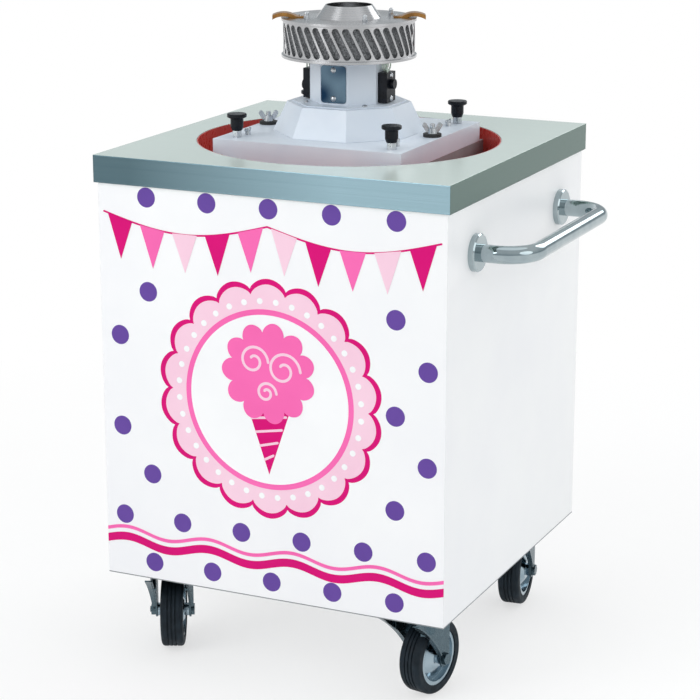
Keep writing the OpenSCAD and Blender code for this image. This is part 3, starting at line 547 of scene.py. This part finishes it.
def stroke_points(line, width):
    """Outline of a line of the given width with rounded ends."""
    def side(sign):
        out = []
        for k, (x, z) in enumerate(line):
            ax, az = line[max(k - 1, 0)]
            bx, bz = line[min(k + 1, len(line) - 1)]
            long = math.hypot(bx - ax, bz - az)
            out.append((x - sign * (bz - az) / long * width / 2, z + sign * (bx - ax) / long * width / 2))
        return out

    def cap(at, before):
        a = math.atan2(at[1] - before[1], at[0] - before[0])
        turns = [a + math.pi / 2 - math.pi * k / CAP_STEPS for k in range(1, CAP_STEPS)]
        return [(at[0] + width / 2 * math.cos(t), at[1] + width / 2 * math.sin(t)) for t in turns]

    return side(1) + cap(line[-1], line[-2]) + side(-1)[::-1] + cap(line[0], line[1])


def film(name, outlines, layer, material):
    """Flat shapes of film, each as thick as one layer, on the front panel's face."""
    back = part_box("front_panel")[0].y - FILM_T * (layer - 1)
    bm = bmesh.new()
    for outline in outlines:
        rear = [bm.verts.new((x * MM, back, z * MM)) for x, z in outline]
        fore = [bm.verts.new((x * MM, back - FILM_T, z * MM)) for x, z in outline]
        add_loft(bm, (rear, fore))
    mesh_piece(name, bm, material, smooth_angle=FILM_SMOOTH_ANGLE)


# Medallion in the middle of the panel
MEDAL_X, MEDAL_Z, MEDAL_R = 0, 492, 196
MEDAL_LOBES = 18
LOBE_DEPTH = 16
MEDAL_EDGE_W = 9
PEARL_COUNT = 36
PEARL_RING_R = 160
PEARL_R = 5
PEARL_STEPS = 20
MEDAL_RING_R = 147
MEDAL_DISC_R = 138
MEDAL_STEPS = 96


def make_medallion(magenta, pink, pale, white):
    """A scalloped edge with pearls round a white disc."""
    lace_r = MEDAL_R - MEDAL_EDGE_W
    film("medallion_edge", [scallop_points(MEDAL_X, MEDAL_Z, MEDAL_R, MEDAL_LOBES, LOBE_DEPTH)], 1, magenta)
    film("medallion_lace", [scallop_points(MEDAL_X, MEDAL_Z, lace_r, MEDAL_LOBES, LOBE_DEPTH)], 2, pale)
    pearls = []
    for k in range(PEARL_COUNT):
        a = math.tau * (k + 0.5) / PEARL_COUNT
        x = MEDAL_X + PEARL_RING_R * math.cos(a)
        z = MEDAL_Z + PEARL_RING_R * math.sin(a)
        pearls.append(circle_points(x, z, PEARL_R, PEARL_STEPS))
    film("medallion_pearls", pearls, 3, white)
    film("medallion_ring", [circle_points(MEDAL_X, MEDAL_Z, MEDAL_RING_R, MEDAL_STEPS)], 3, pink)
    film("medallion_disc", [circle_points(MEDAL_X, MEDAL_Z, MEDAL_DISC_R, MEDAL_STEPS)], 4, white)


# Candy on the medallion; each curl has its place from the medallion's middle and its radius
CONE_HALF = 38
CONE_FOOT_Z = MEDAL_Z - 12
CONE_TIP_Z = MEDAL_Z - 122
STRIPE_COUNT = 4
STRIPE_TOP = 14
STRIPE_STEP = 22
STRIPE_INSET = 3
STRIPE_FALL = 6
STRIPE_RISE = 2
STRIPE_W = 4
PUFF_Z = MEDAL_Z + 44
PUFF_R = 82
PUFF_LOBES = 11
CURLS = ((-26, 62, 26), (26, 52, 30), (-4, 12, 18))
CURL_W = 4.5
CURL_TURNS = 1.35
CURL_SHRINK = 0.75
CURL_STEPS = 39


def curl_points(across, rise, r):
    """Outline of a curl that winds inward."""
    line = []
    for k in range(CURL_STEPS + 1):
        a = math.tau * CURL_TURNS * k / CURL_STEPS
        reach = r * (1 - CURL_SHRINK * k / CURL_STEPS)
        line.append((MEDAL_X + across + reach * math.cos(a), MEDAL_Z + rise + reach * math.sin(a)))
    return stroke_points(line, CURL_W)


def make_candy(magenta, pink, pale):
    """A plain puff on a striped cone."""
    left, right = MEDAL_X - CONE_HALF, MEDAL_X + CONE_HALF
    film("candy_cone", [[(left, CONE_FOOT_Z), (MEDAL_X, CONE_TIP_Z), (right, CONE_FOOT_Z)]], 5, magenta)
    stripes = []
    for k in range(STRIPE_COUNT):
        z = CONE_FOOT_Z - STRIPE_TOP - STRIPE_STEP * k
        half = CONE_HALF * (z - CONE_TIP_Z) / (CONE_FOOT_Z - CONE_TIP_Z) - STRIPE_INSET
        line = [(MEDAL_X - half, z - STRIPE_FALL), (MEDAL_X + half, z + STRIPE_RISE)]
        stripes.append(stroke_points(line, STRIPE_W))
    film("candy_cone_stripes", stripes, 6, pale)
    film("candy_puff", [scallop_points(MEDAL_X, PUFF_Z, PUFF_R, PUFF_LOBES, LOBE_DEPTH)], 7, pink)
    film("candy_curls", [curl_points(*curl) for curl in CURLS], 8, pale)


# Pennants on a rope below the worktop; a pennant's drop starts at the lower of two places on the rope
ROPE_Z = 770
ROPE_W = 3
ROPE_STEP = 10
SWAG_W = 290
SWAG_DROP = 26
FLAG_COUNT = 10
FLAG_STEP = 58
FLAG_HALF = 22
FLAG_DROP = 62
FLAG_PROBE = 20


def rope_height(x):
    """Height of the rope, which hangs in two swags."""
    return ROPE_Z - SWAG_DROP * abs(math.sin(math.pi * (x + SWAG_W) / SWAG_W))


def flag_points(x):
    """A pennant that hangs from the rope."""
    low = min(rope_height(x - FLAG_PROBE), rope_height(x + FLAG_PROBE)) - FLAG_DROP
    left, right = x - FLAG_HALF, x + FLAG_HALF
    return [(left, rope_height(left)), (x, low), (right, rope_height(right))]


def make_bunting(magenta, pink, pale):
    """Two swags of pennants in three colours by turns."""
    line = [(x, rope_height(x)) for x in range(-SWAG_W, SWAG_W + 1, ROPE_STEP)]
    film("bunting_rope", [stroke_points(line, ROPE_W)], 2, magenta)
    colours = (magenta, pink, pale)
    places = [FLAG_STEP * (k - (FLAG_COUNT - 1) / 2) for k in range(FLAG_COUNT)]
    for turn, material in enumerate(colours):
        flags = [flag_points(x) for x in places[turn::len(colours)]]
        film("bunting_" + material.name, flags, 3, material)


# Waves along the foot of the panel: name, height of the middle line and width of each
WAVES = (("wave_low", 219, 14), ("wave_high", 236, 6))
WAVE_RISE = 7
WAVE_LENGTH = 150
WAVE_HALF = 300
WAVE_STEP = 6


def make_waves(magenta, pink):
    """Two waved stripes."""
    places = range(-WAVE_HALF, WAVE_HALF + 1, WAVE_STEP)
    wave = [(x, WAVE_RISE * math.sin(math.tau * x / WAVE_LENGTH)) for x in places]
    for (name, z, width), material in zip(WAVES, (magenta, pink)):
        upper = [(x, z + width / 2 + rise) for x, rise in wave]
        lower = [(x, z - width / 2 + rise) for x, rise in reversed(wave)]
        film(name, [upper + lower], 2, material)


# Dots over the rest of the panel
DOT_R = 16
DOT_STEPS = 40
DOT_STEP_X = 53.7
DOT_STEP_Z = 76.2
DOT_TOP_Z = 798
DOT_ROWS = (0, 2, 3, 4, 5, 6, 7, 8)
DOT_COLUMNS = 11
DOT_MIDDLE_X = 2
DOT_CLEAR = 4


def dot_places():
    """A staggered pattern of dots, left free under the medallion and the pennants."""
    for row in DOT_ROWS:
        z = DOT_TOP_Z - row * DOT_STEP_Z
        for column in range(DOT_COLUMNS):
            x = DOT_MIDDLE_X + (column - DOT_COLUMNS // 2) * DOT_STEP_X
            clear = math.hypot(x - MEDAL_X, z - MEDAL_Z) > MEDAL_R + DOT_R + DOT_CLEAR
            if (row + column) % 2 and clear:
                yield x, z


def make_graphics():
    purple = vinyl("film_purple", "6A4BA0", "64469A")
    magenta = vinyl("film_magenta", "DE0078", "D40072")
    pink = vinyl("film_pink", "FB70B7", "F567AF")
    pale = vinyl("film_pale", "F9D3E3", "F6CADD")
    white = vinyl("film_white", "FAFAFA", "F5F5F6")
    film("polka_dots", [circle_points(x, z, DOT_R, DOT_STEPS) for x, z in dot_places()], 1, purple)
    make_medallion(magenta, pink, pale, white)
    make_candy(magenta, pink, pale)
    make_bunting(magenta, pink, pale)
    make_waves(magenta, pink)


# Wire mesh of the heater, seen through the slots: two layers that lean either way, some way off the ring
WIRE_R = 0.45 * MM
WIRE_COUNT = 96
WIRE_TURN = 0.32
WIRE_STEPS = 8
WIRE_LAYERS = ((1, 1.2 * MM), (-1, 2.1 * MM))


def add_wire(bm, start, turn, r, low_z, high_z):
    """A square wire that leans round the ring from its foot to its top."""
    rings = []
    for step in range(WIRE_STEPS + 1):
        share = step / WIRE_STEPS
        a = start + turn * share
        outward = Vector((math.cos(a), math.sin(a), 0))
        across = Vector((-math.sin(a), math.cos(a), 0))
        middle = outward * r + Vector((0, 0, low_z + (high_z - low_z) * share))
        corners = (outward, across, -outward, -across)
        rings.append([bm.verts.new(middle + c * WIRE_R) for c in corners])
    add_loft(bm, rings)


def make_heater_mesh():
    low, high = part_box("heater_ring")
    low_z, high_z = low.z + 2 * WIRE_R, high.z - 2 * WIRE_R
    bm = bmesh.new()
    for way, off in WIRE_LAYERS:
        for k in range(WIRE_COUNT):
            add_wire(bm, math.tau * k / WIRE_COUNT, way * WIRE_TURN, high.x + off, low_z, high_z)
    mesh_piece("heater_mesh", bm, SLOT_MATERIALS["heater_steel"], "spinner")


# Grey edging under the boards
EDGED_BOARDS = ("front_panel", "rear_frame", "left_panel", "right_panel")
EDGE_T = 1.6 * MM
EDGE_PROUD = 0.4 * MM
EDGE_ROUND = 0.3 * MM


def add_box(bm, low, high):
    """A box between two corners."""
    matrix = Matrix.Translation((low + high) / 2) @ Matrix.Diagonal((*(high - low), 1))
    bmesh.ops.create_cube(bm, size=1, matrix=matrix)


def make_edging():
    proud = Vector((EDGE_PROUD, EDGE_PROUD, 0))
    bm = bmesh.new()
    for node in EDGED_BOARDS:
        low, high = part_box(node)
        add_box(bm, Vector((low.x, low.y, low.z - EDGE_T)) - proud, Vector((high.x, high.y, low.z)) + proud)
    bmesh.ops.bevel(bm, geom=bm.edges[:], offset=EDGE_ROUND, segments=2, affect="EDGES")
    mesh_piece("board_edging", bm, SLOT_MATERIALS["grey_paint"])


# Small fasteners, with their profiles as pairs of radius and height in mm
CORNERS = ("fl", "fr", "rl", "rr")
CASTER_PLATE = (100 * MM, 85 * MM)
CASTER_PLATE_T = 4 * MM
BOLT_INSET = 12 * MM
BOLT_WASHER = ((9, 0), (9, 1.2), (8.6, 1.5))
BOLT_HEAD = ((6.5, 1.5), (6.5, 4.4), (5.6, 5.2))
WASHER_SIDES = 24
HEAD_SIDES = 6
SCREW_SIDES = 20
HINGES = (("hinge_frame_leaves", "cart", True), ("hinge_door_leaves", "door_leaf", False))
HINGE_H = 60 * MM
HINGE_SCREW_INSET = 8.4 * MM
HINGE_SCREW_STEP = 20 * MM
HINGE_LEAF_T = 2 * MM
FLAT_SCREW = ((3.9, 0), (3.6, 0.5), (2.6, 1), (1.3, 1.1), (1.1, 0.5))
CLIP_DIR = 25
CLIP_SCREW_R = 77 * MM
CLIP_FOOT_T = 2 * MM
COVER_T = 4 * MM
PAN_SCREW = ((4.4, 0), (4.4, 0.8), (3.4, 0.8), (3.3, 2.2), (2.5, 3), (1.2, 3.2), (1, 2.2))


def add_turned(bm, place, axis, profile, sides):
    """A turned or prismatic form that stands on a place."""
    turn = Vector((0, 0, 1)).rotation_difference(Vector(axis)).to_matrix().to_4x4()
    matrix = Matrix.Translation(place) @ turn
    turns = [math.tau * k / sides for k in range(sides)]
    rings = []
    for r, height in profile:
        ring = [Vector((r * math.cos(a), r * math.sin(a), height)) * MM for a in turns]
        rings.append([bm.verts.new(matrix @ point) for point in ring])
    add_loft(bm, rings)


def swivel_place(corner):
    """The middle of a caster's plate, on the floor; a corner is named front or rear, left or right."""
    low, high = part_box("caster_plates")
    half_x, half_y = [side / 2 for side in CASTER_PLATE]
    x = low.x + half_x if corner[1] == "l" else high.x - half_x
    y = low.y + half_y if corner[0] == "f" else high.y - half_y
    return Vector((x, y, 0))


def make_caster_bolts():
    reach_x, reach_y = [side / 2 - BOLT_INSET for side in CASTER_PLATE]
    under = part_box("base_board")[0].z - CASTER_PLATE_T
    bm = bmesh.new()
    for corner in CORNERS:
        for way_x in (-1, 1):
            for way_y in (-1, 1):
                place = swivel_place(corner) + Vector((way_x * reach_x, way_y * reach_y, under))
                add_turned(bm, place, (0, 0, -1), BOLT_WASHER, WASHER_SIDES)
                add_turned(bm, place, (0, 0, -1), BOLT_HEAD, HEAD_SIDES)
    mesh_piece("caster_bolts", bm, SLOT_MATERIALS["zinc"])


def make_hinge_screws():
    for node, body, at_left in HINGES:
        low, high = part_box(node)
        x = low.x + HINGE_SCREW_INSET if at_left else high.x - HINGE_SCREW_INSET
        bm = bmesh.new()
        for middle in (low.z + HINGE_H / 2, high.z - HINGE_H / 2):
            for k in (-1, 0, 1):
                place = (x, low.y + HINGE_LEAF_T, middle + k * HINGE_SCREW_STEP)
                add_turned(bm, place, (0, 1, 0), FLAT_SCREW, SCREW_SIDES)
        mesh_piece(node.replace("leaves", "screws"), bm, SLOT_MATERIALS["zinc"], body)


def make_clip_screws():
    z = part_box("slotted_band")[1].z + COVER_T + CLIP_FOOT_T
    bm = bmesh.new()
    for turn in (CLIP_DIR, CLIP_DIR + 180):
        a = math.radians(turn)
        place = (CLIP_SCREW_R * math.cos(a), CLIP_SCREW_R * math.sin(a), z)
        add_turned(bm, place, (0, 0, 1), PAN_SCREW, SCREW_SIDES)
    mesh_piece("clip_screws", bm, SLOT_MATERIALS["zinc"], "spinner")


# Cheeks and flanges of the forks, in X and Z of the fork's own frame, where the wheel trails along +X
LEG_IN, LEG_OUT = 27 * MM, 30 * MM
LEG_TOP = Vector((-23.8, 147)) * MM
LEG_FRONT = Vector((-23.8, 119.7)) * MM
LEG_END = Vector((19.4, 72.9)) * MM
LEG_HOLLOW_R = 75 * MM
CHEEK_TOP = Vector((-57, 147)) * MM
CHEEK_END = Vector((17.8, 73.6)) * MM
CHEEK_HOLLOW_R = 260 * MM
CHEEK_SINK = 1 * MM
FLANGE_T = 2.4 * MM
FLANGE_SINK = 0.5 * MM
FLANGE_WIDE = 10 * MM
FLANGE_NARROW = 5 * MM
HOLLOW_STEPS = 18


def hollow_edge(upper, lower, r, steps):
    """Points along a hollow edge, each with the direction from it into the leg."""
    half = (upper - lower) / 2
    side = Vector((-half.y, half.x)).normalized()
    centre = lower + half + side * math.sqrt(r ** 2 - half.length_squared)
    start, end = [math.atan2(*(p - centre).yx) for p in (upper, lower)]
    for step in range(steps + 1):
        a = start + (end - start) * step / steps
        inward = Vector((math.cos(a), math.sin(a)))
        yield centre + inward * r, inward


def add_cheek(bm, matrix, way, cheek, leg):
    """The sheet between one leg's front edge and its new edge, and the flange along the new edge."""
    sheet, flange = [], []
    near = LEG_OUT - FLANGE_SINK
    for k, ((point, inward), (seat, into)) in enumerate(zip(cheek, leg)):
        far = LEG_OUT + FLANGE_WIDE + (FLANGE_NARROW - FLANGE_WIDE) * k / HOLLOW_STEPS
        back = point + inward * FLANGE_T
        sunk = seat + into * CHEEK_SINK
        for rings, corners in (
            (sheet, ((point, LEG_IN), (point, LEG_OUT), (sunk, LEG_OUT), (sunk, LEG_IN))),
            (flange, ((point, near), (point, far), (back, far), (back, near))),
        ):
            rings.append([bm.verts.new(matrix @ Vector((p.x, way * y, p.y))) for p, y in corners])
    add_loft(bm, sheet)
    add_loft(bm, flange)


def make_fork_cheeks():
    """Sheet that draws each leg of a fork forward at the top, with a flange turned outward along its edge."""
    cheek = list(hollow_edge(CHEEK_TOP, CHEEK_END, CHEEK_HOLLOW_R, HOLLOW_STEPS))
    leg = [(LEG_TOP, Vector((1, 0))), *hollow_edge(LEG_FRONT, LEG_END, LEG_HOLLOW_R, HOLLOW_STEPS - 1)]
    for corner in CORNERS:
        swivel = swivel_place(corner)
        tyre_low, tyre_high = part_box("tyre_" + corner)
        trail = (tyre_low + tyre_high) / 2 - swivel
        matrix = Matrix.Translation(swivel) @ Matrix.Rotation(math.atan2(trail.y, trail.x), 4, "Z")
        bm = bmesh.new()
        for way in (-1, 1):
            add_cheek(bm, matrix, way, cheek, leg)
        mesh_piece("fork_cheeks_" + corner, bm, PAINTED_SHADE_STEEL, "caster_" + corner)


# Stage and light
FLOOR_HALF = 30
FLOOR_LIFT_NEAR = 0.62
FLOOR_LIFT_FAR = 1.0
LIFT_START = 0.6
LIFT_END = 1.9
WORLD_STRENGTH = 1.0
# Heights of the sky, from the horizon up, and their colours
WORLD_STOPS = ((0.0, "FFFFFF"), (0.04, "F2F4F5"), (0.15, "A0A8AD"), (0.3, "C2C8CB"), (0.6, "DADCDD"))
# Each lamp's place and aim, its size in metres and its power in watts
LAMPS = {
    "key": ((-1.9, -3.6, 3.0), (0, 0, 0.6), 2.8, 66),
    "side": ((3.4, -0.9, 2.3), (0, 0, 0.6), 2.4, 17),
    "top": ((0.2, 0.4, 4.2), (0, 0, 0.9), 3.2, 14),
    "back": ((1.4, 3.4, 2.8), (0, 0, 0.6), 2.2, 34),
}


def floor_paper():
    """Paper that shows the shadow near the cart and turns into the white background further off."""
    s = Shade("floor_paper", "FAFAFA", 0.9)
    s.colour(s.ramp(s.noise(2), "F9F9F9", "FCFCFC"))
    s.set("Specular IOR Level", 0.1)
    ray = s.node("LightPath", {})
    seen = s.math("MAXIMUM", ray.outputs["Is Camera Ray"], ray.outputs["Is Glossy Ray"])
    seen = s.math("MAXIMUM", seen, ray.outputs["Is Transmission Ray"])
    away = s.node("VectorMath", {}, operation="LENGTH")
    s.feed(away.inputs[0], s.coords())
    lift = s.span(away.outputs["Value"], FLOOR_LIFT_NEAR, FLOOR_LIFT_FAR, LIFT_START, LIFT_END)
    white = s.node("Emission", {"Color": tone("FFFFFF"), "Strength": 1.0})
    paper = s.node("MixShader", {"Fac": s.math("MULTIPLY", seen, lift)})
    s.feed(paper.inputs[1], s.shader.outputs["BSDF"])
    s.feed(paper.inputs[2], white.outputs["Emission"])
    s.feed(s.tree.nodes["Material Output"].inputs["Surface"], paper.outputs["Shader"])
    return s.material


def make_floor():
    bm = bmesh.new()
    bmesh.ops.create_grid(bm, x_segments=1, y_segments=1, size=FLOOR_HALF)
    mesh = bpy.data.meshes.new("floor")
    bm.to_mesh(mesh)
    bm.free()
    mesh.materials.append(floor_paper())
    floor = bpy.data.objects.new("floor", mesh)
    bpy.context.scene.collection.objects.link(floor)


def make_world():
    world = bpy.data.worlds.new("studio")
    bpy.context.scene.world = world
    world.use_nodes = True
    tree = world.node_tree
    coords = tree.nodes.new("ShaderNodeTexCoord")
    split = tree.nodes.new("ShaderNodeSeparateXYZ")
    ramp = tree.nodes.new("ShaderNodeValToRGB")
    tree.links.new(coords.outputs["Generated"], split.inputs["Vector"])
    tree.links.new(split.outputs["Z"], ramp.inputs["Fac"])
    stops = ramp.color_ramp.elements
    while len(stops) < len(WORLD_STOPS):
        stops.new(1.0)
    for stop, (place, colour) in zip(stops, WORLD_STOPS):
        stop.position = place
        stop.color = tone(colour)
    background = tree.nodes["Background"]
    tree.links.new(ramp.outputs["Color"], background.inputs["Color"])
    background.inputs["Strength"].default_value = WORLD_STRENGTH


def make_lamps():
    for name, (place, aim, size, power) in LAMPS.items():
        data = bpy.data.lights.new(name, "AREA")
        data.shape = "DISK"
        data.size = size
        data.energy = power
        lamp = bpy.data.objects.new(name, data)
        lamp.location = place
        lamp.rotation_euler = (Vector(aim) - Vector(place)).to_track_quat("-Z", "Y").to_euler()
        bpy.context.scene.collection.objects.link(lamp)


make_camera()
make_leads()
dress_frame()
make_graphics()
make_heater_mesh()
make_edging()
make_caster_bolts()
make_fork_cheeks()
make_hinge_screws()
make_clip_screws()
make_floor()
make_world()
make_lamps()
bpy.context.scene.view_settings.view_transform = "Standard"
